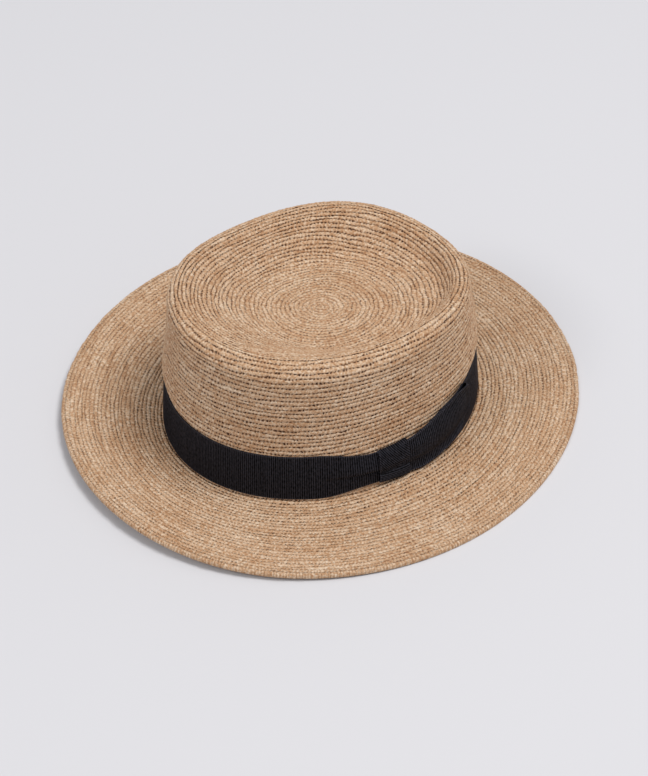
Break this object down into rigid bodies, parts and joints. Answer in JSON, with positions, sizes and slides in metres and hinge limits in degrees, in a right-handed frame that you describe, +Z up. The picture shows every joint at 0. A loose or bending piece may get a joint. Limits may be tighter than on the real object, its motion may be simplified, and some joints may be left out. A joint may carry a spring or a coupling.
{
  "type": "crocheted raffia hat with a ribbon band and bow",
  "caption": "Wide-brimmed crocheted raffia hat with a dented oval crown, a black ribbon band and a flat side bow.",
  "frame": {"origin": "middle of the hat's box on the surface that its brim rests on", "axes": "+Z up through the crown, -Y to the front of the hat, +X to the wearer's left"},
  "size_m": [0.3088, 0.3322, 0.1088],
  "materials": {
    "raffia": "matt crocheted natural raffia",
    "ribbon": "matt ribbed grosgrain"
  },
  "bodies": {
    "root": {"hat_body": "raffia", "hat_band": "ribbon", "bow_loop": "ribbon", "bow_knot": "ribbon"}
  },
  "joints": []
}
